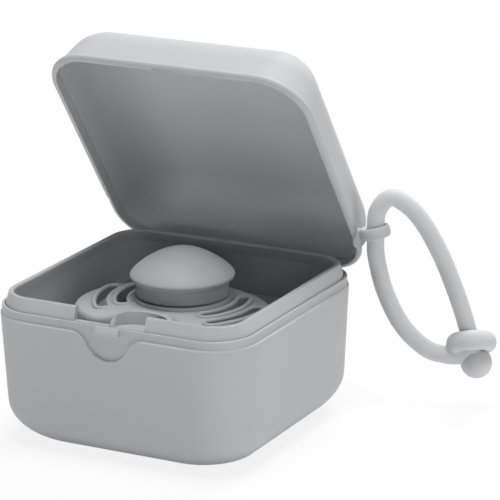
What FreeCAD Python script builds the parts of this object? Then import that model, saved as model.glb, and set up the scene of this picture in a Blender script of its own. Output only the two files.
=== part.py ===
import FreeCAD
import Part
import math
import os

from FreeCAD import Vector

# A pacifier case: a square rounded base with a lift-over lid hinged at the back, a tray that
# snaps into the base and carries a pacifier, and a silicone strap through an eyelet of the lid.
# Millimetres, +Z up, the front towards -Y, the origin at the middle of the base's underside.

# Case outline, shared by the base, the tray and the lid
case_width = 66.0
parting_height = 30.9
edge_round = 0.4
overrun = 2.0
crown_steps = 6
origin = Vector(0, 0, 0)
along_x = Vector(1, 0, 0)
along_y = Vector(0, 1, 0)
along_z = Vector(0, 0, 1)

# Base shell
base_corner = 12.0
base_corner_share = 0.16
base_wall = 1.4
base_floor = 1.6
base_draft_share = 0.041
base_bottom_round = 9.6
band_height = 1.97
band_inset = 0.8
band_corner = 10.1
mouth_corner = 9.8
rib_width = 1.6
rib_depth = 1.7
rib_spacing = 24.0

# Thumb dip in the base's front face, and the latch nub on the band above it
dip_half_width = 9.6
dip_drop = 6.15
dip_depth = 0.85
dip_bottom_share = 0.57
nub_width = 6.1
nub_height = 1.4
nub_depth = 0.75
nub_top_depth = 0.1
nub_round = 0.3
nub_clearance = 0.12

# Tray
tray_seat_drop = 9.0
tray_gap = 0.2
tray_wall = 1.3
tray_floor = 1.5
shield_seat_rise = 3.0
seat_rib_x = 16.7
seat_rib_length = 18.0
tray_rim_stand = 3.0
tray_rim_inset = 2.74
tray_rim_corner = 7.6
notch_half_width = 9.1
pocket_centre_x = 8.0
pocket_half_width = 6.7
pocket_depth = 4.4
pocket_wall = 1.2
pocket_shelf = 1.3
pocket_end_round = 3.0
slot_clearance = 0.8

# Lid, drawn closed and then swung to the open angle
lid_overhang = 0.53
lid_corner = 11.4
lid_corner_share = 0.9
lid_depth = 16.1
lid_wall = 1.35
lid_draft_share = 0.212
lid_crown_round = 8.6
lip_height = 1.0
lip_round = 0.75
ledge_round = 0.15
rabbet_clearance = 0.2
rabbet_headroom = 0.2
lid_open_angle = 55.35

# Hinge behind the back wall
hinge_setback = 0.96
hinge_drop = 1.02
knuckle_radius = 1.5
knuckle_clearance = 0.25
lid_knuckle_length = 34.0
base_knuckle_length = 8.0
knuckle_web = 5.5
pin_radius = 0.7
pin_clearance = 0.05

# Strap and its eyelet on the lid's right wall, which the strap hangs through when the lid is open
cord_diameter = 4.14
eyelet_reach = 4.52
eyelet_y = 18.71
eyelet_rise = 1.69
eyelet_wall = 1.1
eyelet_height = 2.7
eyelet_lean = 15.0
neck_root_radius = 1.75
neck_tip_radius = 1.2
cord_clearance = 0.33
strap_yaw = 27.0
ring_outer_radius = 5.9
ring_half_height = 2.1
ring_travel = 3.59
ball_radius = 3.65

# Routes of the two strands in the strap's plane, from the eyelet's middle: outward, then up
upper_route = [(0, 0), (0, 2.8), (0.34, 5.2), (2.43, 8.19), (4.98, 8.46), (10.19, 4.1),
               (15.42, -5.45), (19.18, -15.35), (21.77, -23.63), (23.89, -32.34)]
lower_route = [(0, 0), (0, -2.8), (-0.02, -5.54), (1.94, -14.35), (6.05, -23.19), (11.48, -28.69),
               (15.34, -30.41), (20.73, -30.65)]

# Pacifier
pacifier_y = 2.8
shield_half_width = 24.6
shield_half_depth = 18.6
shield_offset = 4.2
shield_thickness = 1.9
shield_dome_radius = 180.0
shield_clearance = 0.05
shield_round = 1.2
nose_radius = 11.5
nose_setback = 24.7
nose_corner_round = 4.0
collar_radius = 11.6
collar_rise = 4.25
collar_round = 0.5
vent_width = 2.4
bead_radius = 0.6
bead_offset = 0.5
inner_vent_radius = 14.3
outer_vent_radius = 19.1
inner_vent_shares = [(-0.11, 0.06)]
outer_vent_shares = [(-0.115, 0.005)]
bore_radius = 6.6
seat_radius = 9.5
seat_depth = 2.0
fit_clearance = 0.15
knob_gap = 0.4
stem_height = 3.0
brim_height = 1.7
dome_rise = 6.37
knob_radius = 12.26
stem_radius = 10.85
crown_reach_share = 0.405
brim_reach_share = 0.94
brim_lift_share = 0.256
brim_turn_share = 0.3
teat_flange = 1.2
teat_neck_radius = 5.4
teat_bulb_radius = 7.4
teat_floor_gap = 2.4
teat_neck_drop = 6.0
lift_tilt = 28.0

case_half = case_width / 2
band_top = parting_height + band_height
band_half = case_half - band_inset
mouth_half = case_half - base_wall
tray_seat_height = parting_height - tray_seat_drop
tray_floor_top = tray_seat_height + tray_floor
shield_seat = tray_floor_top + shield_seat_rise
tray_rim_height = band_top + tray_rim_stand
tray_corner = mouth_corner - tray_gap
lip_half = case_half + lid_overhang
eyelet_x = lip_half + eyelet_reach
hinge_y = case_half + hinge_setback
hinge_z = parting_height - hinge_drop
cord_radius = cord_diameter / 2
cord_hole = cord_radius + cord_clearance
collar_top = shield_seat + collar_rise
stem_low = collar_top + knob_gap
knob_neck_height = stem_low + stem_height
knob_edge_height = knob_neck_height + brim_height
knob_top = knob_edge_height + dome_rise
teat_bottom = base_floor + teat_floor_gap


def rounded_square(half, corner, z):
    """A closed square outline with rounded corners, at height z."""
    flat = half - corner
    side = Part.LineSegment(Vector(half, -flat, z), Vector(half, flat, z)).toShape()
    bend = Part.makeCircle(corner, Vector(flat, flat, z), along_z, 0, 90)
    edges = []
    for quarter in range(4):
        for edge in (side, bend):
            turned = edge.copy()
            turned.rotate(origin, along_z, 90 * quarter)
            edges.append(turned)
    return Part.Wire(Part.__sortEdges__(edges))


def prism(half, corner, z_low, z_high):
    """A straight block on a rounded square."""
    face = Part.Face(rounded_square(half, corner, z_low))
    return face.extrude(Vector(0, 0, z_high - z_low))


def drafted(low, high):
    """A block between two rounded squares, each given as half width, corner and height."""
    return Part.makeLoft([rounded_square(*low), rounded_square(*high)], True, True)


def cupped(half, corner, corner_share, draft_share, crown, depth, skip, rise):
    """A block from the parting plane with leaning walls and a rounded far end, up or down by rise."""
    straight = depth - crown

    def outline(travel, lost):
        inward = draft_share * travel + lost
        return rounded_square(half - inward, corner - corner_share * inward, parting_height + rise * travel)

    walls = Part.makeLoft([outline(skip, 0), outline(straight, 0)], True, True)
    sections = []
    for step in range(crown_steps + 1):
        turn = math.radians(90) * step / crown_steps
        sections.append(outline(straight + crown * math.sin(turn), crown * (1 - math.cos(turn))))
    return walls.fuse(Part.makeLoft(sections, True, False))


def edges_at(shape, z):
    """The edges that lie wholly at height z."""
    near = edge_round / 100
    return [e for e in shape.Edges if abs(e.BoundBox.ZMin - z) < near and abs(e.BoundBox.ZMax - z) < near]


def box_between(low, high):
    return Part.makeBox(high.x - low.x, high.y - low.y, high.z - low.z, low)


def base_half(z):
    """Half width of the base's drafted outside at height z."""
    return case_half - base_draft_share * (parting_height - z)


def lid_half(z):
    """Half width of the closed lid's drafted outside at height z."""
    return lip_half - lid_draft_share * (z - parting_height)


def extruded_across(outline, x_low, x_high):
    """A prism along X on an outline in the YZ plane."""
    points = [Vector(x_low, y, z) for y, z in outline]
    face = Part.Face(Part.makePolygon(points + points[:1]))
    return face.extrude(Vector(x_high - x_low, 0, 0))


def barrel(radius, x_low, x_high):
    """A cylinder on the hinge axis."""
    return Part.makeCylinder(radius, x_high - x_low, Vector(x_low, hinge_y, hinge_z), along_x)


def knuckle_spans():
    """The stretches of the hinge axis that the base's two knuckles take."""
    inner = lid_knuckle_length / 2 + knuckle_clearance
    outer = inner + base_knuckle_length
    return [(-outer, -inner), (inner, outer)]


def dip_cutter():
    """The thumb dip: a bottom arc that runs into a shoulder arc on either side, leaning with the wall."""
    reach = (dip_half_width ** 2 + dip_drop ** 2) / (2 * dip_drop)
    bottom = reach * dip_bottom_share
    shoulder = reach - bottom
    z_bottom = parting_height - dip_drop + bottom
    z_shoulder = parting_height - shoulder
    lean = math.atan2(z_shoulder - z_bottom, dip_half_width)
    meet = Vector(bottom * math.cos(lean), 0, z_bottom + bottom * math.sin(lean))
    half_turn = math.radians(90) - (math.radians(90) + lean) / 2
    middle = Vector(dip_half_width, 0, z_shoulder)
    middle += Vector(-math.sin(half_turn), 0, math.cos(half_turn)) * shoulder
    end = Vector(dip_half_width, 0, parting_height)

    def mirrored(point):
        return Vector(-point.x, point.y, point.z)

    low = Vector(0, 0, parting_height - dip_drop)
    top = end + Vector(0, 0, overrun)
    edges = [
        Part.Arc(end, middle, meet).toShape(),
        Part.Arc(meet, low, mirrored(meet)).toShape(),
        Part.Arc(mirrored(meet), mirrored(middle), mirrored(end)).toShape(),
        Part.makeLine(mirrored(end), mirrored(top)),
        Part.makeLine(mirrored(top), top),
        Part.makeLine(top, end),
    ]
    cutter = Part.Face(Part.Wire(edges)).extrude(Vector(0, dip_depth + overrun, 0))
    cutter.translate(Vector(0, -case_half - overrun, 0))
    cutter.rotate(Vector(0, -case_half, parting_height), along_x, math.degrees(math.atan(base_draft_share)))
    return cutter


def latch_nub():
    """The bar on the band's front, whose ramp starts at the band's top."""
    foot = band_top - nub_height
    outline = [(-mouth_half, foot), (-band_half - nub_depth, foot), (-band_half - nub_top_depth, band_top),
               (-mouth_half, band_top)]
    bar = extruded_across(outline, -nub_width / 2, nub_width / 2)
    front = [e for e in bar.Edges if e.BoundBox.YMax < -band_half]
    return bar.makeFillet(nub_round, front)


def nub_way():
    """The groove in the lid's lip that the nub passes through."""
    half = nub_width / 2 + nub_depth
    face = -band_half - nub_depth - nub_clearance
    return box_between(Vector(-half, face, parting_height - overrun),
                       Vector(half, -mouth_half, band_top + rabbet_headroom))


def base_knuckle(x_low, x_high):
    """A knuckle with the web that carries it down the back wall."""
    foot = hinge_z - knuckle_web
    root = case_half - base_wall / 2
    web = [(root, hinge_z), (hinge_y + knuckle_radius, hinge_z), (base_half(foot), foot), (root, foot)]
    return barrel(knuckle_radius, x_low, x_high).fuse(extruded_across(web, x_low, x_high))


def support_ribs(outside):
    """Two upright ribs on each wall, which the tray rests on."""
    ribs = []
    inside = base_half(tray_seat_height) - base_wall
    for quarter in range(4):
        for side in (-1, 1):
            middle = side * rib_spacing / 2
            low = Vector(middle - rib_width / 2, inside - rib_depth, base_floor / 2)
            high = Vector(middle + rib_width / 2, case_half, tray_seat_height)
            rib = box_between(low, high)
            rib.rotate(origin, along_z, 90 * quarter)
            ribs.append(rib.common(outside))
    return ribs


def base_shell():
    outside = cupped(case_half, base_corner, base_corner_share, base_draft_share, base_bottom_round,
                     parting_height, 0, -1)
    cavity = cupped(mouth_half, mouth_corner, base_corner_share, base_draft_share,
                    base_bottom_round - base_wall, parting_height - base_floor, 0, -1)
    rounded = outside.makeFillet(edge_round, edges_at(outside, parting_height))
    band = prism(band_half, band_corner, parting_height - base_wall, band_top)
    band = band.makeFillet(edge_round / 2, edges_at(band, band_top))
    mouth = prism(mouth_half, mouth_corner, parting_height, band_top + overrun)
    shell = rounded.fuse(band).cut(cavity).cut(mouth)
    shell = shell.cut(dip_cutter())
    shell = shell.fuse(support_ribs(outside))
    shell = shell.fuse(latch_nub())
    room = barrel(knuckle_radius + knuckle_clearance, -lid_knuckle_length / 2 - knuckle_clearance,
                  lid_knuckle_length / 2 + knuckle_clearance)
    shell = shell.cut(room)
    for x_low, x_high in knuckle_spans():
        shell = shell.fuse(base_knuckle(x_low, x_high))
    span = knuckle_spans()[1][1]
    return shell.cut(barrel(pin_radius + pin_clearance, -span - overrun, span + overrun)).removeSplitter()


def hinge_pin():
    span = knuckle_spans()[1][1]
    return barrel(pin_radius, -span, span)


def tray_block(inset, z_low, z_high):
    """The tray's outside, drawn in by inset: it widens up to the base's mouth and then leans in."""
    corner = tray_corner - inset
    foot = (mouth_half - tray_gap - inset, corner, band_top)
    low = (base_half(tray_seat_height) - base_wall - tray_gap - inset, corner, z_low)
    rim = (case_half - tray_rim_inset - inset, tray_rim_corner - inset, z_high)
    return drafted(low, foot).fuse(drafted(foot, rim))


def pocket_outline(grow):
    """Half an oval behind the tray's front wall, as a prism over the tray's full height."""
    centre = Vector(pocket_centre_x, tray_gap - mouth_half, tray_seat_height)
    oval = Part.Ellipse(centre, pocket_half_width + grow, pocket_depth + grow)
    face = Part.Face(Part.Wire(oval.toShape()))
    return face.extrude(Vector(0, 0, tray_rim_height - tray_seat_height))


def finger_pocket():
    """A shelf at the band's level with a curved wall behind it, whose free end is rounded off."""
    wall = pocket_outline(pocket_wall).cut(pocket_outline(0))
    end = pocket_centre_x - pocket_half_width - pocket_wall
    block = box_between(Vector(end - overrun, -case_half, tray_rim_height - pocket_end_round),
                        Vector(end + pocket_end_round, 0, tray_rim_height + overrun))
    middle = Vector(end + pocket_end_round, -case_half, tray_rim_height - pocket_end_round)
    roll = Part.makeCylinder(pocket_end_round, case_half, middle, along_y)
    wall = wall.cut(block.cut(roll))
    shelf = pocket_outline(0)
    above = shelf.copy()
    above.translate(Vector(0, 0, band_top - tray_seat_height))
    below = shelf.copy()
    below.translate(Vector(0, 0, band_top - pocket_shelf - tray_rim_height))
    return wall.fuse(shelf.cut(above).cut(below))


def slot_prism():
    """The way for the teat: as wide as its bulb, and long enough for it to leave at the lift's tilt."""
    half = teat_bulb_radius + slot_clearance
    tilt = math.radians(lift_tilt)
    travel = (shield_seat - teat_bottom - teat_bulb_radius) * math.tan(tilt)
    travel += teat_bulb_radius * (1 / math.cos(tilt) - 1)
    low = tray_seat_height - overrun
    height = tray_floor + 2 * overrun
    back = Part.makeCylinder(half, height, Vector(0, pacifier_y, low))
    front = Part.makeCylinder(half, height, Vector(0, pacifier_y - travel, low))
    middle = box_between(Vector(-half, pacifier_y - travel, low), Vector(half, pacifier_y, low + height))
    return back.fuse(front).fuse(middle)


def seat_ribs():
    """A rib on either side of the tray's floor, which a wing of the shield rests on."""
    ribs = []
    middle = pacifier_y - shield_offset
    for side in (-1, 1):
        low = Vector(side * seat_rib_x - rib_width / 2, middle - seat_rib_length / 2, tray_seat_height)
        high = Vector(side * seat_rib_x + rib_width / 2, middle + seat_rib_length / 2, collar_top)
        ribs.append(box_between(low, high).common(dome(-shield_thickness - shield_clearance)))
    return ribs


def inner_tray():
    outside = tray_block(0, tray_seat_height, tray_rim_height)
    inside = tray_block(tray_wall, tray_floor_top, tray_rim_height)
    pan = outside.cut(inside)
    pan = pan.makeFillet(edge_round, edges_at(pan, tray_rim_height))
    pan = pan.cut(slot_prism()).fuse(seat_ribs())
    keep = finger_pocket()
    under = pocket_outline(0).cut(keep)
    inner_half = mouth_half - tray_gap - tray_wall
    under = under.common(prism(inner_half, tray_corner - tray_wall, 0, band_top - pocket_shelf))
    pan = pan.cut(under).fuse(keep.common(outside))
    sill = -case_half + tray_rim_inset + tray_wall + edge_round
    notch = box_between(Vector(-notch_half_width, -case_half, band_top),
                        Vector(notch_half_width, sill, tray_rim_height + overrun))
    return pan.cut(notch.cut(keep)).removeSplitter()


def eyelet_frame(shape):
    """Moves a shape drawn about the eyelet's middle, bore along Z, to its place on the closed lid."""
    shape.rotate(origin, along_x, lid_open_angle)
    shape.translate(Vector(eyelet_x, eyelet_y, parting_height + eyelet_rise))
    return shape


def oval_ring(hole, outer, half_height):
    """A ring of oval section about the Y axis, higher than its section is wide."""
    half = (outer - hole) / 2
    section = Part.Ellipse(origin, half_height, half)
    face = Part.Face(Part.Wire(section.toShape()))
    face.rotate(origin, along_z, 90)
    face.translate(Vector(hole + half, 0, 0))
    return face.revolve(origin, along_y, 360)


def eyelet():
    """A leaning ring on a neck that flares into the lid's wall, above the parting plane."""
    ring = oval_ring(cord_hole, cord_hole + eyelet_wall, eyelet_height / 2)
    ring.rotate(origin, along_x, 90)
    middle = cord_hole + eyelet_wall / 2
    wall = lid_half(parting_height + eyelet_rise) - lid_wall / 2
    far = (eyelet_x - wall) / math.cos(math.radians(eyelet_lean))
    neck = Part.makeCone(neck_root_radius, neck_tip_radius, far - middle, Vector(-far, 0, 0), along_x)
    loop = ring.fuse(neck)
    loop.rotate(origin, along_y, -eyelet_lean)
    below = prism(eyelet_x + ring_outer_radius, lid_corner, 0, parting_height)
    return eyelet_frame(loop).cut(below)


def lid_web():
    """The lid's knuckle with the web that carries it up to the lid's back wall."""
    head = hinge_z + knuckle_web
    root = lid_half(head) - lid_wall / 2
    web = [(root, head), (lid_half(head), head), (hinge_y + knuckle_radius, hinge_z), (hinge_y, hinge_z),
           (lid_half(parting_height), parting_height)]
    half = lid_knuckle_length / 2
    return barrel(knuckle_radius, -half, half).fuse(extruded_across(web, -half, half))


def opened(shape):
    """Swings a shape drawn on the closed lid to the lid's open angle."""
    shape.rotate(Vector(0, hinge_y, hinge_z), along_x, -lid_open_angle)
    return shape


def lid_shell():
    body = cupped(lip_half, lid_corner, lid_corner_share, lid_draft_share, lid_crown_round,
                  lid_depth, lip_height / 2, 1)
    lip = prism(lip_half, lid_corner, parting_height, parting_height + lip_height)
    lip = lip.makeFillet(lip_round, edges_at(lip, parting_height))
    lip = lip.makeFillet(ledge_round, edges_at(lip, parting_height + lip_height))
    hollow = cupped(lip_half - lid_wall, lid_corner - lid_wall, lid_corner_share, lid_draft_share,
                    lid_crown_round - lid_wall, lid_depth - lid_wall, 0, 1)
    rabbet = prism(band_half + rabbet_clearance, band_corner + rabbet_clearance, parting_height - overrun,
                   band_top + rabbet_headroom)
    lid = body.fuse(lip).fuse(lid_web()).fuse(eyelet())
    lid = lid.cut(hollow).cut(rabbet).cut(nub_way())
    for x_low, x_high in knuckle_spans():
        lid = lid.cut(barrel(knuckle_radius + knuckle_clearance, x_low - knuckle_clearance,
                             x_high + knuckle_clearance))
    half = lid_knuckle_length / 2
    lid = lid.cut(barrel(pin_radius + pin_clearance, -half - overrun, half + overrun))
    return opened(lid.removeSplitter())


def strap_point(outward, up):
    """A point of the strap's plane, in the eyelet's own frame."""
    turn = math.radians(strap_yaw)
    return Vector(outward * math.cos(turn), outward * math.sin(turn), up)


def tube_path(points):
    """Straight runs joined by tangent arcs, each as large as its two runs allow."""
    reach_share = 0.45
    edges = []
    radii = []
    start = points[0]
    for before, corner, after in zip(points, points[1:], points[2:]):
        run_in = corner - before
        run_out = after - corner
        reach = reach_share * min(run_in.Length, run_out.Length)
        turn = run_in.getAngle(run_out)
        radii.append(reach / math.tan(turn / 2))
        arc_start = corner - run_in.normalize() * reach
        arc_end = corner + run_out.normalize() * reach
        inward = (arc_start + arc_end) * 0.5 - corner
        arc_middle = corner + inward.normalize() * (radii[-1] / math.cos(turn / 2) - radii[-1])
        edges.append(Part.LineSegment(start, arc_start).toShape())
        edges.append(Part.Arc(arc_start, arc_middle, arc_end).toShape())
        start = arc_end
    edges.append(Part.LineSegment(start, points[-1]).toShape())
    return Part.Wire(edges), radii


def strand(name, route):
    """A round tube along a route, with its radii and its volume against section times length printed."""
    path, radii = tube_path([strap_point(*point) for point in route])
    section = Part.Wire(Part.makeCircle(cord_radius, origin, along_z))
    tube = path.makePipeShell([section], True, False)
    expected = math.pi * cord_radius ** 2 * path.Length
    print(name, "length", round(path.Length, 2), "radii", [round(r, 1) for r in radii],
          "volume share", round(tube.Volume / expected, 4))
    return tube


def along_last_run(route):
    """Where the route ends, and the direction in which it arrives there."""
    end = strap_point(*route[-1])
    corner = strap_point(*route[-2])
    return end, (end - corner).normalize(), corner


def strap_parts():
    """The strap in the eyelet's frame: two strands, the ring that one ends in and the ball on the other."""
    upper = strand("strap_upper_strand", upper_route)
    lower = strand("strap_lower_strand", lower_route)
    ball_centre, heading, corner = along_last_run(upper_route)
    upper_run = Part.makeCylinder(cord_radius, (ball_centre - corner).Length, corner, heading)
    ball = Part.makeSphere(ball_radius, ball_centre)
    ring = oval_ring(cord_hole, ring_outer_radius, ring_half_height)
    ring.Placement = FreeCAD.Placement(corner + heading * ring_travel, FreeCAD.Rotation(along_y, heading))
    end = Part.makeSphere(cord_radius, strap_point(*lower_route[-1]))
    parts = {
        "strap_upper_strand": upper.cut(ball),
        "strap_lower_strand": lower.fuse(end).cut(ring).cut(ball).cut(upper_run).removeSplitter(),
        "strap_ring": ring,
        "strap_ball": ball,
    }
    return {name: opened(eyelet_frame(shape)) for name, shape in parts.items()}


def dome_crown():
    """The height of the shield's face over the middle of its oval."""
    edge_drop = shield_dome_radius - math.sqrt(shield_dome_radius ** 2 - shield_half_width ** 2)
    return shield_seat + shield_clearance + shield_thickness + edge_drop


def dome(radius_change):
    """A ball under the shield's face: the shield is the skin between two of them."""
    centre = Vector(0, pacifier_y - shield_offset, dome_crown() - shield_dome_radius)
    return Part.makeSphere(shield_dome_radius + radius_change, centre)


def shield_outline():
    """An oval with a round bay for the nose, its two corners rounded, over the shield's whole height."""
    centre = Vector(0, pacifier_y - shield_offset, tray_seat_height)
    height = collar_top - tray_seat_height
    oval = Part.Face(Part.Wire(Part.Ellipse(centre, shield_half_width, shield_half_depth).toShape()))
    bay = Part.makeCylinder(nose_radius, height, Vector(0, pacifier_y - nose_setback, tray_seat_height))
    block = oval.extrude(Vector(0, 0, height)).cut(bay)
    upright = [e for e in block.Edges if e.BoundBox.ZLength > height / 2 and e.BoundBox.YMax < centre.y]
    return block.makeFillet(nose_corner_round, upright)


def vent(radius, start, end):
    """A curved slot about the pacifier's axis, with round ends, as an upright prism."""
    low = tray_seat_height
    height = collar_top - low
    half = vent_width / 2
    centre = Vector(0, pacifier_y, low)
    sweep = Part.makeCylinder(radius + half, height, centre, along_z, end - start)
    sweep = sweep.cut(Part.makeCylinder(radius - half, height, centre, along_z, end - start))
    sweep.rotate(centre, along_z, start)
    for angle in (start, end):
        tip = Part.makeCylinder(half, height, centre + Vector(radius, 0, 0))
        tip.rotate(centre, along_z, angle)
        sweep = sweep.fuse(tip)
    return sweep


def bead_arc(radius, sweep):
    """A round bar bent about the Z axis, from the X axis on."""
    section = Part.Wire(Part.makeCircle(bead_radius, Vector(radius, 0, 0), along_y))
    return Part.Face(section).revolve(origin, along_z, sweep)


def vent_bead(radius, start, end):
    """The round rim of a slot: a bar along both long sides and about both ends, on the shield's face."""
    offset = vent_width / 2 + bead_offset
    pieces = [bead_arc(radius + offset, end - start), bead_arc(radius - offset, end - start)]
    first = bead_arc(offset, -180)
    first.translate(Vector(radius, 0, 0))
    last = bead_arc(offset, 180)
    last.translate(Vector(radius, 0, 0))
    last.rotate(origin, along_z, end - start)
    bead = pieces[0].fuse([pieces[1], first, last]).removeSplitter()
    bead.rotate(origin, along_z, start)
    middle = math.radians(start + end) / 2
    away = math.hypot(radius * math.cos(middle), radius * math.sin(middle) + shield_offset)
    face = dome_crown() - shield_dome_radius + math.sqrt(shield_dome_radius ** 2 - away ** 2)
    bead.translate(Vector(0, pacifier_y, face))
    return bead


def on_both_wings(make):
    """What make gives for each slot, and its mirror image."""
    places = [(inner_vent_radius, shares) for shares in inner_vent_shares]
    places += [(outer_vent_radius, shares) for shares in outer_vent_shares]
    right = [make(radius, 360 * start, 360 * end) for radius, (start, end) in places]
    return right + [shape.mirror(origin, along_x) for shape in right]


def pacifier_shield():
    block = shield_outline()
    plate = block.common(dome(0)).cut(dome(-shield_thickness))
    rim = max(plate.Faces, key=lambda f: f.CenterOfMass.z).OuterWire.Edges
    plate = plate.makeFillet(shield_round, rim)
    axis = Vector(0, pacifier_y, shield_seat)
    collar = Part.makeCylinder(collar_radius, collar_rise, axis).cut(dome(-shield_thickness))
    collar = collar.makeFillet(collar_round, edges_at(collar, collar_top))
    shield = plate.fuse(collar)
    for slot in on_both_wings(vent):
        shield = shield.cut(slot)
    for bead in on_both_wings(vent_bead):
        shield = shield.fuse(bead)
    bore = Part.makeCylinder(bore_radius, collar_top, Vector(0, pacifier_y, 0))
    seat = Part.makeCylinder(seat_radius, seat_depth, Vector(0, pacifier_y, collar_top - seat_depth))
    return shield.cut(bore).cut(seat).removeSplitter()


def revolved(edges):
    """A solid of revolution about the pacifier's axis, from a closed outline of radius and height."""
    face = Part.Face(Part.Wire(edges))
    face.translate(Vector(0, pacifier_y, 0))
    return face.revolve(Vector(0, pacifier_y, 0), along_z, 360)


def at(radius, z):
    return Vector(radius, 0, z)


def bezier(poles):
    curve = Part.BezierCurve()
    curve.setPoles(poles)
    return curve.toShape()


def pacifier_knob():
    """A smooth dome with a rounded brim on a short stem, and a spigot that holds the teat in the shield."""
    spigot = seat_radius - fit_clearance
    spigot_low = collar_top - seat_depth + teat_flange
    rim = at(knob_radius, knob_edge_height)
    slope = at(knob_radius * brim_reach_share, knob_edge_height + dome_rise * brim_lift_share)
    edges = [
        bezier([at(0, knob_top), at(knob_radius * crown_reach_share, knob_top), slope, rim]),
        bezier([rim, rim + (rim - slope) * brim_turn_share,
                at((knob_radius + stem_radius) / 2, knob_neck_height), at(stem_radius, knob_neck_height)]),
        Part.makeLine(at(stem_radius, knob_neck_height), at(stem_radius, stem_low)),
        Part.makeLine(at(stem_radius, stem_low), at(spigot, stem_low)),
        Part.makeLine(at(spigot, stem_low), at(spigot, spigot_low)),
        Part.makeLine(at(spigot, spigot_low), at(0, spigot_low)),
        Part.makeLine(at(0, spigot_low), at(0, knob_top)),
    ]
    return revolved(edges)


def pacifier_teat():
    """A flange that the knob clamps, a neck through the shield's bore and a round bulb below."""
    flange_low = collar_top - seat_depth
    flange_top = flange_low + teat_flange
    flange = seat_radius - fit_clearance
    sleeve = bore_radius - fit_clearance
    neck_top = shield_seat
    neck_low = neck_top - teat_neck_drop
    bulb_z = teat_bottom + teat_bulb_radius
    quarter = math.sqrt(0.5)
    edges = [
        Part.makeLine(at(0, flange_top), at(flange, flange_top)),
        Part.makeLine(at(flange, flange_top), at(flange, flange_low)),
        Part.makeLine(at(flange, flange_low), at(sleeve, flange_low)),
        Part.makeLine(at(sleeve, flange_low), at(sleeve, neck_top)),
    ]
    edges.append(bezier([
        at(sleeve, neck_top), at(teat_neck_radius, neck_low), at(teat_neck_radius, neck_low),
        at(teat_bulb_radius, bulb_z + teat_neck_drop / 4), at(teat_bulb_radius, bulb_z),
    ]))
    tip = at(teat_bulb_radius * quarter, bulb_z - teat_bulb_radius * quarter)
    edges.append(Part.Arc(at(teat_bulb_radius, bulb_z), tip, at(0, teat_bottom)).toShape())
    edges.append(Part.makeLine(at(0, teat_bottom), at(0, flange_top)))
    return revolved(edges)


def main():
    os.makedirs("parts", exist_ok=True)
    parts = {
        "base_shell": base_shell(),
        "hinge_pin": hinge_pin(),
        "inner_tray": inner_tray(),
        "lid_shell": lid_shell(),
        "pacifier_shield": pacifier_shield(),
        "pacifier_knob": pacifier_knob(),
        "pacifier_teat": pacifier_teat(),
    }
    parts.update(strap_parts())
    for name, shape in parts.items():
        print(name, "solids", len(shape.Solids), "valid", shape.isValid(), "volume", round(shape.Volume, 1))
        shape.exportStep("parts/" + name + ".step")


main()
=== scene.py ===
import math

import bmesh
import bpy
from mathutils import Matrix, Vector


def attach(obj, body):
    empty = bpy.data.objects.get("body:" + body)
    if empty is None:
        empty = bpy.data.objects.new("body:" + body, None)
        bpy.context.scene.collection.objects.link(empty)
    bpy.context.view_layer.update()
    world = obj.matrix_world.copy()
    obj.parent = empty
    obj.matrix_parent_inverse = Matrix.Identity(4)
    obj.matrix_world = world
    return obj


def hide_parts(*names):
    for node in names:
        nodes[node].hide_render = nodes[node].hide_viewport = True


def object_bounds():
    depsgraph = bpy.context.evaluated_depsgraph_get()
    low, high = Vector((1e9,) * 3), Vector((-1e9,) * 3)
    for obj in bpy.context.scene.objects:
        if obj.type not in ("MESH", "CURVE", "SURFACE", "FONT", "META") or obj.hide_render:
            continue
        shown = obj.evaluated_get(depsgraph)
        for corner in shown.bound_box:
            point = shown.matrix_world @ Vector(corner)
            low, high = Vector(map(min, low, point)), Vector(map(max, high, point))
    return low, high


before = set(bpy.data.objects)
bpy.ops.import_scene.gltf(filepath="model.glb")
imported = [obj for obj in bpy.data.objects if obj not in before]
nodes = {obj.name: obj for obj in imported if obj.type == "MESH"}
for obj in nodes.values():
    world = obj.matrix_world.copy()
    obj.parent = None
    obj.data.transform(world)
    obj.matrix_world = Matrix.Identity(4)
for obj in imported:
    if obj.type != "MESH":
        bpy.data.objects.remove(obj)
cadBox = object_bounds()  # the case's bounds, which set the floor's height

scene = bpy.context.scene
scene.view_settings.view_transform = "Standard"
print("frame in:", len(nodes), "solids")

# Camera, at the photograph's angle

cameraSet = {
    "target": (0.002864, 0.031199, 0.033797),
    "azimuth": 27.906,  # degrees round from the front, to the right
    "elevation": 17.113,
    "distance": 0.741058,
    "roll": -0.540,
    "lens": 221.744,
    "sensor": 36,
    "clip": 0.01,
}


def placeCamera(look):
    turn = math.radians(look["azimuth"])
    rise = math.radians(look["elevation"])
    back = Vector((math.sin(turn) * math.cos(rise), -math.cos(turn) * math.cos(rise), math.sin(rise)))
    right = Vector((0, 0, 1)).cross(back).normalized()
    up = back.cross(right)
    roll = math.radians(look["roll"])
    rolledRight = right * math.cos(roll) + up * math.sin(roll)
    rolledUp = up * math.cos(roll) - right * math.sin(roll)
    lensData = bpy.data.cameras.new("caseCamera")
    lensData.lens = look["lens"]
    lensData.sensor_width = look["sensor"]
    lensData.sensor_fit = "HORIZONTAL"
    lensData.clip_start = look["clip"]
    cameraObject = bpy.data.objects.new("caseCamera", lensData)
    scene.collection.objects.link(cameraObject)
    place = Matrix((rolledRight, rolledUp, back)).transposed().to_4x4()
    place.translation = Vector(look["target"]) + back * look["distance"]
    cameraObject.matrix_world = place
    scene.camera = cameraObject


placeCamera(cameraSet)
print("camera placed")

# Node helpers


def freshMaterial(name):
    made = bpy.data.materials.new(name)
    made.use_nodes = True
    made.node_tree.nodes.clear()
    return made, made.node_tree


def addNode(tree, kind, **values):
    node = tree.nodes.new(kind)
    for key, value in values.items():
        if hasattr(node, key):
            setattr(node, key, value)
        else:
            node.inputs[key.replace("_", " ")].default_value = value
    return node


# Finishes. Noise scales are in cycles per metre, bump distances in metres.

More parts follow.
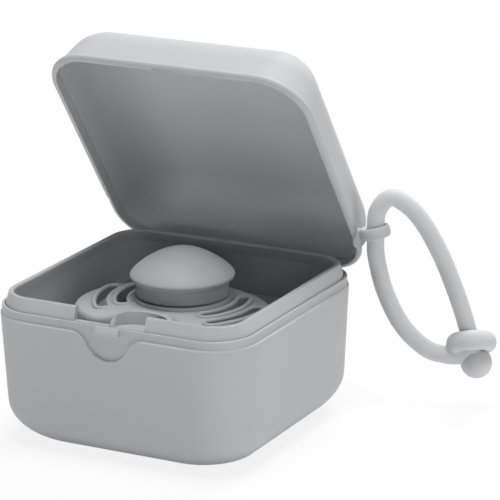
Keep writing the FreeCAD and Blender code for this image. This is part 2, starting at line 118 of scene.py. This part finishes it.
shellFinish = {
    "colour": (0.470, 0.476, 0.488),
    "shift": 0.022,  # how far the tone drifts over the moulding
    "driftScale": 30,
    "roughness": (0.50, 0.60),
    "grainScale": 2600,
    "grainDepth": 0.000012,
    "rippleScale": 90,  # faint sink marks of a thin moulding
    "rippleDepth": 0.00003,
    "specular": 0.16,
}

strapFinish = {
    "colour": (0.560, 0.567, 0.581),
    "shift": 0.018,
    "driftScale": 45,
    "roughness": (0.55, 0.66),
    "grainScale": 3400,
    "grainDepth": 0.000006,
    "rippleScale": 140,
    "rippleDepth": 0.00002,
    "specular": 0.16,
}

pacifierFinish = {
    "colour": (0.510, 0.517, 0.530),
    "shift": 0.020,
    "driftScale": 40,
    "roughness": (0.46, 0.56),
    "grainScale": 3000,
    "grainDepth": 0.000006,
    "rippleScale": 110,
    "rippleDepth": 0.00002,
    "specular": 0.14,
}

teatFinish = {
    "colour": (0.60, 0.605, 0.61),
    "shift": 0.015,
    "driftScale": 60,
    "roughness": (0.32, 0.42),
    "grainScale": 2400,
    "grainDepth": 0.000004,
    "rippleScale": 150,
    "rippleDepth": 0.00003,
    "specular": 0.45,
}

mouldSet = {
    "drift": {"Detail": 3.0, "Roughness": 0.55},
    "grain": {"Detail": 2.0, "Roughness": 0.6},
    "ripple": {"Detail": 1.0},
    "toneStops": (0.3, 0.7),  # where the drift's noise starts and ends its change of tone
    "grainSpan": (0.25, 0.75),  # the part of the grain's noise that turns into roughness
    "rippleStrength": 0.5,
    "grainStrength": 0.6,
}


def mouldedFinish(name, finish):
    made, tree = freshMaterial(name)
    link = tree.links.new
    where = addNode(tree, "ShaderNodeTexCoord")
    drift = addNode(tree, "ShaderNodeTexNoise", Scale=finish["driftScale"], **mouldSet["drift"])
    grain = addNode(tree, "ShaderNodeTexNoise", Scale=finish["grainScale"], **mouldSet["grain"])
    ripple = addNode(tree, "ShaderNodeTexNoise", Scale=finish["rippleScale"], **mouldSet["ripple"])
    for noise in (drift, grain, ripple):
        link(where.outputs["Object"], noise.inputs["Vector"])
    tone = addNode(tree, "ShaderNodeValToRGB")
    low, high = tone.color_ramp.elements
    low.position, high.position = mouldSet["toneStops"]
    low.color = (*[c * (1 - finish["shift"]) for c in finish["colour"]], 1)
    high.color = (*[c * (1 + finish["shift"]) for c in finish["colour"]], 1)
    link(drift.outputs["Fac"], tone.inputs["Fac"])
    polish = addNode(tree, "ShaderNodeMapRange")
    spans = (("From", mouldSet["grainSpan"]), ("To", finish["roughness"]))
    for side, (least, most) in spans:
        polish.inputs[side + " Min"].default_value = least
        polish.inputs[side + " Max"].default_value = most
    link(grain.outputs["Fac"], polish.inputs["Value"])
    wave = addNode(tree, "ShaderNodeBump", Strength=mouldSet["rippleStrength"],
                   Distance=finish["rippleDepth"])
    link(ripple.outputs["Fac"], wave.inputs["Height"])
    pits = addNode(tree, "ShaderNodeBump", Strength=mouldSet["grainStrength"],
                   Distance=finish["grainDepth"])
    link(grain.outputs["Fac"], pits.inputs["Height"])
    link(wave.outputs["Normal"], pits.inputs["Normal"])
    skin = addNode(tree, "ShaderNodeBsdfPrincipled")
    skin.inputs["Specular IOR Level"].default_value = finish["specular"]
    link(tone.outputs["Color"], skin.inputs["Base Color"])
    link(polish.outputs["Result"], skin.inputs["Roughness"])
    link(pits.outputs["Normal"], skin.inputs["Normal"])
    end = addNode(tree, "ShaderNodeOutputMaterial")
    link(skin.outputs["BSDF"], end.inputs["Surface"])
    return made


shellPlastic = mouldedFinish("shellPlastic", shellFinish)
strapSilicone = mouldedFinish("strapSilicone", strapFinish)
pacifierPlastic = mouldedFinish("pacifierPlastic", pacifierFinish)
teatSilicone = mouldedFinish("teatSilicone", teatFinish)


def dress(nodeName, finish):
    solid = nodes[nodeName]
    solid.data.materials.clear()
    solid.data.materials.append(finish)


for nodeName in ("base_shell", "hinge_pin", "inner_tray", "lid_shell"):
    dress(nodeName, shellPlastic)
for nodeName in ("pacifier_shield", "pacifier_knob"):
    dress(nodeName, pacifierPlastic)
print("solids dressed")

# Strap: two strands out of the lid's eyelet, drawn in the strap's own plane (outward, up)

strapSet = {
    "diameter": 0.00414,
    "eyelet": (0.03805, 0.0275188, 0.0439661),  # middle of the lid's eyelet
    "yaw": 27.0,
    "upperRoute": [(0, 0), (0, 0.0028), (0.00034, 0.0052), (0.00243, 0.00819), (0.00498, 0.00846),
                   (0.01019, 0.0041), (0.01542, -0.00545), (0.01918, -0.01535), (0.02177, -0.02363),
                   (0.02389, -0.03234)],
    "lowerRoute": [(0, 0), (0, -0.0028), (-0.00002, -0.00554), (0.00194, -0.01435), (0.00605, -0.02319),
                   (0.01148, -0.02869), (0.01534, -0.03041), (0.02073, -0.03065)],
    "upperLength": 0.0568,
    "lowerLength": 0.0413,
    "smoothness": (16, 7),  # steps along a span, steps round the cord
}

strapPlane = Matrix.Translation(strapSet["eyelet"]) @ Matrix.Rotation(math.radians(strapSet["yaw"]), 4, "Z")


def strapPoint(outward, up):
    return strapPlane @ Vector((outward, 0, up))


def strapStrand(name, route, replaced):
    line = bpy.data.curves.new(name, "CURVE")
    line.dimensions = "3D"
    spline = line.splines.new("NURBS")
    spline.points.add(len(route) - 1)
    for point, (outward, up) in zip(spline.points, route):
        point.co = (*strapPoint(outward, up), 1)
    spline.order_u = 3
    spline.use_endpoint_u = True
    line.resolution_u, line.bevel_resolution = strapSet["smoothness"]
    line.bevel_depth = strapSet["diameter"] / 2
    line.use_fill_caps = True
    line.materials.append(strapSilicone)
    strand = bpy.data.objects.new(name, line)
    scene.collection.objects.link(strand)
    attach(strand, "strap")
    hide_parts(replaced)
    return strand


upperStrand = strapStrand("strapUpperStrand", strapSet["upperRoute"], "strap_upper_strand")
lowerStrand = strapStrand("strapLowerStrand", strapSet["lowerRoute"], "strap_lower_strand")
print("strands laid")

# Mesh work that the clasp, the eyelet, the latch, the rim and the teat share

meshSet = {
    "tinyGap": 1e-7,
    "beadSegments": (24, 16),  # round and along each bead of a chain
    "easeFactor": 0.5,
}


def bridgeRings(work, rings, roundTrip=True, closedSection=True):
    count = len(rings[0])
    following = rings[1:] + rings[:1] if roundTrip else rings[1:]
    for here, there in zip(rings, following):
        for spot in range(count if closedSection else count - 1):
            after = (spot + 1) % count
            work.faces.new((here[spot], there[spot], there[after], here[after]))


def meshFrom(name, work, frameMatrix=None):
    mesh = bpy.data.meshes.new(name)
    work.to_mesh(mesh)
    work.free()
    if frameMatrix is not None:
        mesh.transform(frameMatrix)
    return mesh


def smoothPiece(name, work, frameMatrix, finish):
    bmesh.ops.recalc_face_normals(work, faces=work.faces)
    for face in work.faces:
        face.smooth = True
    mesh = meshFrom(name, work, frameMatrix)
    mesh.materials.append(finish)
    piece = bpy.data.objects.new(name, mesh)
    scene.collection.objects.link(piece)
    return piece


def lathe(name, outline, frameMatrix, segments, finish, closed=False):
    work = bmesh.new()
    rings = []
    for step in range(segments):
        turn = 2 * math.pi * step / segments
        rings.append([work.verts.new((radius * math.cos(turn), radius * math.sin(turn), height))
                      for radius, height in outline])
    bridgeRings(work, rings, closedSection=closed)
    bmesh.ops.remove_doubles(work, verts=work.verts, dist=meshSet["tinyGap"])
    return smoothPiece(name, work, frameMatrix, finish)


def beadChain(name, beads):
    work = bmesh.new()
    around, along = meshSet["beadSegments"]
    for spot, radius in beads:
        bmesh.ops.create_uvsphere(work, u_segments=around, v_segments=along, radius=radius, matrix=spot)
    return meshFrom(name, work)


def welded(name, meshes, voxel, easing, finish):
    work = bmesh.new()
    for mesh in meshes:
        work.from_mesh(mesh)
    holder = bpy.data.objects.new(name + "Rough", meshFrom(name + "Rough", work))
    scene.collection.objects.link(holder)
    weld = holder.modifiers.new("weld", "REMESH")
    weld.mode = "VOXEL"
    weld.voxel_size = voxel
    ease = holder.modifiers.new("ease", "SMOOTH")
    ease.factor = meshSet["easeFactor"]
    ease.iterations = easing
    mesh = bpy.data.meshes.new_from_object(holder.evaluated_get(bpy.context.evaluated_depsgraph_get()))
    bpy.data.objects.remove(holder)
    mesh.polygons.foreach_set("use_smooth", [True] * len(mesh.polygons))
    mesh.materials.clear()
    mesh.materials.append(finish)
    piece = bpy.data.objects.new(name, mesh)
    scene.collection.objects.link(piece)
    return piece


# Clasp: the ring that the lower strand ends in, and the ball on the upper one

ringSet = {
    "outerRadius": 0.00598,
    "hole": 0.0021,
    "halfHeight": 0.00235,
    "travel": 0.0039,  # along the upper strand's last run
    "leanOut": -2.6,  # degrees that the ring's axis leaves the upright, outward and backward
    "leanBack": 34.0,
    "segments": 72,
    "sectionSteps": 28,
    "sleeve": 0.00212,
    "sleeveRoute": [(0.0168, -0.0305), (0.0188, -0.03063), (0.0205, -0.03055), (0.0219, -0.02965)],
    "sleeveGaps": 4,  # steps between beads on each run of the sleeve
    "voxel": 0.00026,
    "easing": 8,
}

runStart = strapPoint(*strapSet["upperRoute"][-2])
runEnd = strapPoint(*strapSet["upperRoute"][-1])
heading = (runEnd - runStart).normalized()
across = strapPlane.to_3x3() @ Vector((0, 1, 0))


def claspFrame(middle, axis):
    side = across.cross(axis).normalized()
    turned = Matrix((side, axis.cross(side), axis)).transposed().to_4x4()
    turned.translation = middle
    return turned


def ringOutline():
    half = (ringSet["outerRadius"] - ringSet["hole"]) / 2
    middle = ringSet["hole"] + half
    points = []
    for step in range(ringSet["sectionSteps"]):
        turn = 2 * math.pi * step / ringSet["sectionSteps"]
        points.append((middle + half * math.cos(turn), ringSet["halfHeight"] * math.sin(turn)))
    return points


def sleeveBeads():
    poles = [strapPoint(*spot) for spot in ringSet["sleeveRoute"]]
    gaps = ringSet["sleeveGaps"]
    beads = []
    for before, after in zip(poles, poles[1:]):
        for step in range(gaps + 1):
            beads.append((Matrix.Translation(before.lerp(after, step / gaps)), ringSet["sleeve"]))
    return beadChain("sleeveBeads", beads)


ringAxis = strapPlane.to_3x3() @ Vector((
    math.sin(math.radians(ringSet["leanOut"])), math.sin(math.radians(ringSet["leanBack"])), 1)).normalized()
ringTurn = lathe("ringTurn", ringOutline(), claspFrame(runStart + heading * ringSet["travel"], ringAxis),
                 ringSet["segments"], strapSilicone, closed=True)
strapRing = welded("strapRing", [ringTurn.data, sleeveBeads()], ringSet["voxel"], ringSet["easing"],
                   strapSilicone)
bpy.data.objects.remove(ringTurn)
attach(strapRing, "strap")
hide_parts("strap_ring")

ballSet = {
    "radius": 0.00373,
    "neck": 0.0016,
    "neckFit": (1.04, 0.99),  # shares of the cord's radius, at the ball and at the neck's end
    "neckShoulder": 0.2,  # share of the neck's length at which the ball's curve runs out
    "arc": 147,  # degrees from the ball's pole to its neck
    "arcSteps": 21,
    "segments": 64,
}


def ballOutline():
    radius = ballSet["radius"]
    cord = strapSet["diameter"] / 2
    points = [(0, radius)]
    for step in range(1, ballSet["arcSteps"] + 1):
        turn = math.radians(90) - step * math.radians(ballSet["arc"]) / ballSet["arcSteps"]
        points.append((radius * math.cos(turn), radius * math.sin(turn)))
    points.append((cord * ballSet["neckFit"][0], -radius - ballSet["neck"] * ballSet["neckShoulder"]))
    points.append((cord * ballSet["neckFit"][1], -radius - ballSet["neck"]))
    points.append((0, -radius - ballSet["neck"]))
    return points


strapBall = lathe("strapBall", ballOutline(), claspFrame(runEnd, heading), ballSet["segments"], strapSilicone)
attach(strapBall, "strap")
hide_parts("strap_ball")

print("clasp made")

# Eyelet: a full band round the strap, over the lid's own, which the mouth's plane trims

eyeletSet = {
    "lean": 15.0,
    "hole": 0.00234,
    "band": (0.00061, 0.00012),  # half thickness at the far end, and what it gains towards the lid
    "height": (0.00141, 0.00008),  # half height likewise
    "neck": [(-0.0030, 0.0, 0.00132), (-0.0038, -0.00015, 0.00142), (-0.0044, -0.00045, 0.00160),
             (-0.0049, -0.0008, 0.00182), (-0.0052, -0.0011, 0.00196)],  # along, up and radius
    "neckGaps": 5,  # steps between beads on each run of the neck
    "wallPlane": 0.0331,  # the neck is trimmed inside the lid's wall
    "swell": 1.5,  # how late the band gains towards the lid
    "steps": (72, 28),  # round the strap, round the section
    "voxel": 0.00013,
    "easing": 5,
}

eyeletFrame = Matrix.Translation(strapSet["eyelet"])
eyeletFrame = eyeletFrame @ Matrix.Rotation(math.radians(-eyeletSet["lean"]), 4, "Y")


def eyeletBand():
    work = bmesh.new()
    around, section = eyeletSet["steps"]
    rings = []
    for step in range(around):
        turn = 2 * math.pi * step / around
        nearness = ((1 - math.cos(turn)) / 2) ** eyeletSet["swell"]  # 0 at the far end, 1 at the lid
        thick = eyeletSet["band"][0] + eyeletSet["band"][1] * nearness
        tall = eyeletSet["height"][0] + eyeletSet["height"][1] * nearness
        ring = []
        for spot in range(section):
            tilt = 2 * math.pi * spot / section
            radius = eyeletSet["hole"] + thick + thick * math.cos(tilt)
            place = (radius * math.cos(turn), radius * math.sin(turn), tall * math.sin(tilt))
            ring.append(work.verts.new(place))
        rings.append(ring)
    bridgeRings(work, rings)
    bmesh.ops.recalc_face_normals(work, faces=work.faces)
    return meshFrom("eyeletBand", work, eyeletFrame)


def neckBeads():
    gaps = eyeletSet["neckGaps"]
    beads = []
    for before, after in zip(eyeletSet["neck"], eyeletSet["neck"][1:]):
        for step in range(gaps + 1):
            along, up, radius = Vector(before).lerp(Vector(after), step / gaps)
            beads.append((eyeletFrame @ Matrix.Translation((along, 0, up)), radius))
    return beadChain("neckBeads", beads)


def trimAtWall(piece):
    work = bmesh.new()
    work.from_mesh(piece.data)
    bmesh.ops.bisect_plane(work, geom=work.verts[:] + work.edges[:] + work.faces[:], dist=meshSet["tinyGap"],
                           plane_co=(eyeletSet["wallPlane"], 0, 0), plane_no=(1, 0, 0), clear_inner=True)
    bmesh.ops.holes_fill(work, edges=[edge for edge in work.edges if edge.is_boundary])
    work.to_mesh(piece.data)
    work.free()


lidEyelet = welded("lidEyelet", [eyeletBand(), neckBeads()], eyeletSet["voxel"], eyeletSet["easing"],
                   shellPlastic)
trimAtWall(lidEyelet)
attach(lidEyelet, "lid")
print("eyelet made")

# Latch: the bar on the band's front, as tall as the band

latchSet = {
    "halfWidth": 0.0031,
    "outline": [(-0.0319, 0.03097), (-0.03297, 0.03097), (-0.03297, 0.03147), (-0.03233, 0.03288),
                (-0.0319, 0.03288)],  # depth and height round the bar's end
    "round": 0.00022,
    "roundSteps": 4,
    "sharpAngle": 35,
}


def latchBar():
    work = bmesh.new()
    ends = []
    for side in (-1, 1):
        ends.append([work.verts.new((side * latchSet["halfWidth"], depth, height))
                     for depth, height in latchSet["outline"]])
    bridgeRings(work, ends, roundTrip=False)
    for end in ends:
        work.faces.new(end)
    bmesh.ops.recalc_face_normals(work, faces=work.faces)
    bmesh.ops.bevel(work, geom=work.edges[:], offset=latchSet["round"], segments=latchSet["roundSteps"],
                    profile=0.5, affect="EDGES")
    piece = smoothPiece("latchBar", work, None, shellPlastic)
    piece.data.set_sharp_from_angle(angle=math.radians(latchSet["sharpAngle"]))
    return piece


latch = latchBar()
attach(latch, "base")
print("latch made")

# Rim: the rolled bead round the lid's lip, from one rear corner round the front to the other.
# It is drawn on the shut lid and then opened about the hinge.

rimSet = {
    "half": 0.03312,  # from the lid's middle to the bead's own middle
    "corner": 0.01099,
    "height": 0.03176,
    "section": (0.00068, 0.00080),  # half width and half height
    "backEnd": 0.0215,  # where the bead ends on the side walls
    "taper": 0.004,
    "endShare": 0.05,  # the bead's share of its section at the two ends
    "groove": (0.0040, 0.0046),  # half width of the latch's groove, where only the outer half stays
    "hinge": (0.0, 0.03396, 0.02988),
    "open": 55.35,
    "steps": (12, 14, 24),  # along a side wall, round a corner, round the section
}


def rimPath():
    half, corner = rimSet["half"], rimSet["corner"]
    inner = half - corner
    wallSteps, cornerSteps, _ = rimSet["steps"]
    path = []
    for step in range(wallSteps + 1):  # right wall, from the rear to the front
        path.append((half, rimSet["backEnd"] + (-inner - rimSet["backEnd"]) * step / wallSteps, 0.0))
    for step in range(1, cornerSteps):
        turn = -math.radians(90) * step / cornerSteps
        path.append((inner + corner * math.cos(turn), -inner + corner * math.sin(turn), turn))
    for x in (inner, rimSet["groove"][1], rimSet["groove"][0]):
        path.append((x, -half, -math.radians(90)))
    return path + [(-x, y, math.pi - turn) for x, y, turn in reversed(path)]


def rimBead():
    work = bmesh.new()
    wide, tall = rimSet["section"]
    count = rimSet["steps"][2]
    rings = []
    for x, y, turn in rimPath():
        fullness = min(1.0, rimSet["endShare"] + (rimSet["backEnd"] - y) / rimSet["taper"])
        ring = []
        for spot in range(count):
            tilt = 2 * math.pi * spot / count
            out = wide * math.cos(tilt) * fullness - wide * (1 - fullness)
            if abs(x) < rimSet["groove"][1]:
                out = max(out, 0.0)
            ring.append(work.verts.new((x + out * math.cos(turn), y + out * math.sin(turn),
                                        rimSet["height"] + tall * math.sin(tilt) * fullness)))
        rings.append(ring)
    bridgeRings(work, rings, roundTrip=False)
    for end in (rings[0], rings[-1]):
        work.faces.new(end)
    hinge = Matrix.Translation(rimSet["hinge"])
    opened = hinge @ Matrix.Rotation(-math.radians(rimSet["open"]), 4, "X") @ hinge.inverted()
    return smoothPiece("lidRim", work, opened, shellPlastic)


lidRim = rimBead()
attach(lidRim, "lid")
print("rim made")

# Teat: the flange under the knob, the waist through the tray and the bulb in the base's well

teatSet = {
    "axis": (0.0, 0.0028),
    "flange": (0.00935, 0.02865, 0.02985),  # radius, underside and top
    "sleeve": 0.00645,
    "neckTop": 0.0264,
    "neckRadius": 0.0054,
    "neckLow": 0.0204,
    "bulbRadius": 0.0074,
    "bulbHeight": 0.0114,
    "round": 0.0003,
    "shoulder": 0.0015,  # length over which the waist runs straight into the bulb
    "waistSteps": 24,
    "bulbSteps": 18,
    "segments": 64,
}


def curvePoint(poles, share):
    while len(poles) > 1:
        poles = [a.lerp(b, share) for a, b in zip(poles, poles[1:])]
    return poles[0]


def teatOutline():
    radius, low, top = teatSet["flange"]
    soft = teatSet["round"]
    points = [(0, top), (radius - soft, top), (radius, top - soft)]
    points += [(radius, low + soft), (radius - soft, low)]
    points += [(teatSet["sleeve"] + soft, low), (teatSet["sleeve"], low - soft)]
    bulb, middle = teatSet["bulbRadius"], teatSet["bulbHeight"]
    waist = [Vector(pole) for pole in (
        (teatSet["sleeve"], teatSet["neckTop"]), (teatSet["neckRadius"], teatSet["neckLow"]),
        (teatSet["neckRadius"], teatSet["neckLow"]), (bulb, middle + teatSet["shoulder"]), (bulb, middle))]
    steps = teatSet["waistSteps"]
    points += [tuple(curvePoint(waist, step / steps)) for step in range(steps + 1)]
    for step in range(1, teatSet["bulbSteps"] + 1):
        turn = math.radians(90) * step / teatSet["bulbSteps"]
        points.append((bulb * math.cos(turn), middle - bulb * math.sin(turn)))
    return points


pacifierTeat = lathe("pacifierTeat", teatOutline(), Matrix.Translation((*teatSet["axis"], 0)),
                     teatSet["segments"], teatSilicone)
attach(pacifierTeat, "pacifier")
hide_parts("pacifier_teat")
print("teat made")

# Stage and lights

stageSet = {
    "floorColour": (0.86, 0.86, 0.86),
    "shadowShare": 0.15,  # how much of the floor's own shading the camera sees under the case
    "fade": (0.045, 0.14),  # metres from the case's middle over which that share goes to none
    "ambient": 0.005,
    "reach": 4.0,  # half the floor's side
    "drop": 0.00002,  # how far the floor lies below the case
    "aim": (0, 0, 0.03),  # what the lamps point at
}

lightSet = [
    {"name": "overheadBox", "place": (0.05, -0.05, 1.2), "size": (0.7, 0.7), "power": 11.7},
    {"name": "backBox", "place": (0.0, 0.75, 1.0), "size": (0.6, 0.6), "power": 8.8},
    {"name": "rightBox", "place": (1.0, -0.1, 0.55), "size": (0.6, 0.6), "power": 1.7},
    {"name": "frontBox", "place": (0.45, -1.1, 0.22), "size": (0.6, 0.6), "power": 1.3},
    {"name": "tableCardLeft", "place": (-0.35, -0.7, 0.045), "size": (0.6, 0.08), "power": 1.0},
    {"name": "tableCardRight", "place": (0.8, 0.05, 0.045), "size": (0.6, 0.08), "power": 1.0},
]


def seenDirectly(tree):
    path = addNode(tree, "ShaderNodeLightPath")
    first = addNode(tree, "ShaderNodeMath", operation="MAXIMUM")
    second = addNode(tree, "ShaderNodeMath", operation="MAXIMUM")
    tree.links.new(path.outputs["Is Camera Ray"], first.inputs[0])
    tree.links.new(path.outputs["Is Glossy Ray"], first.inputs[1])
    tree.links.new(first.outputs["Value"], second.inputs[0])
    tree.links.new(path.outputs["Is Transmission Ray"], second.inputs[1])
    return second.outputs["Value"]


def buildFloor():
    made, tree = freshMaterial("paleFloor")
    link = tree.links.new
    matt = addNode(tree, "ShaderNodeBsdfDiffuse")
    matt.inputs["Color"].default_value = (*stageSet["floorColour"], 1)
    white = addNode(tree, "ShaderNodeEmission")
    white.inputs["Strength"].default_value = 1.0
    where = addNode(tree, "ShaderNodeTexCoord")
    away = addNode(tree, "ShaderNodeVectorMath", operation="LENGTH")
    link(where.outputs["Object"], away.inputs[0])
    fade = addNode(tree, "ShaderNodeMapRange", interpolation_type="SMOOTHSTEP")
    fade.inputs["From Min"].default_value = stageSet["fade"][0]
    fade.inputs["From Max"].default_value = stageSet["fade"][1]
    fade.inputs["To Min"].default_value = 1 - stageSet["shadowShare"]
    fade.inputs["To Max"].default_value = 1.0
    link(away.outputs["Value"], fade.inputs["Value"])
    share = addNode(tree, "ShaderNodeMath", operation="MULTIPLY")
    link(seenDirectly(tree), share.inputs[0])
    link(fade.outputs["Result"], share.inputs[1])
    both = addNode(tree, "ShaderNodeMixShader")
    link(share.outputs["Value"], both.inputs["Fac"])
    link(matt.outputs["BSDF"], both.inputs[1])
    link(white.outputs["Emission"], both.inputs[2])
    end = addNode(tree, "ShaderNodeOutputMaterial")
    link(both.outputs["Shader"], end.inputs["Surface"])
    mesh = bpy.data.meshes.new("paleFloor")
    reach = stageSet["reach"]
    mesh.from_pydata([(-reach, -reach, 0), (reach, -reach, 0), (reach, reach, 0), (-reach, reach, 0)], [],
                     [(0, 1, 2, 3)])
    floor = bpy.data.objects.new("paleFloor", mesh)
    scene.collection.objects.link(floor)
    floor.location.z = cadBox[0][2] - stageSet["drop"]
    mesh.materials.append(made)


def buildWorld():
    world = bpy.data.worlds.new("studioWorld")
    scene.world = world
    world.use_nodes = True
    tree = world.node_tree
    tree.nodes.clear()
    level = addNode(tree, "ShaderNodeMapRange")
    level.inputs["To Min"].default_value = stageSet["ambient"]
    level.inputs["To Max"].default_value = 1.0
    tree.links.new(seenDirectly(tree), level.inputs["Value"])
    sky = addNode(tree, "ShaderNodeBackground")
    sky.inputs["Color"].default_value = (1, 1, 1, 1)
    tree.links.new(level.outputs["Result"], sky.inputs["Strength"])
    end = addNode(tree, "ShaderNodeOutputWorld")
    tree.links.new(sky.outputs["Background"], end.inputs["Surface"])


def hangLight(box):
    data = bpy.data.lights.new(box["name"], "AREA")
    data.shape = "ELLIPSE"
    data.size, data.size_y = box["size"]
    data.energy = box["power"]
    lamp = bpy.data.objects.new(box["name"], data)
    scene.collection.objects.link(lamp)
    lamp.location = box["place"]
    aim = Vector(stageSet["aim"]) - Vector(box["place"])
    lamp.rotation_euler = aim.to_track_quat("-Z", "Y").to_euler()


buildFloor()
buildWorld()
for box in lightSet:
    hangLight(box)
print("stage lit")
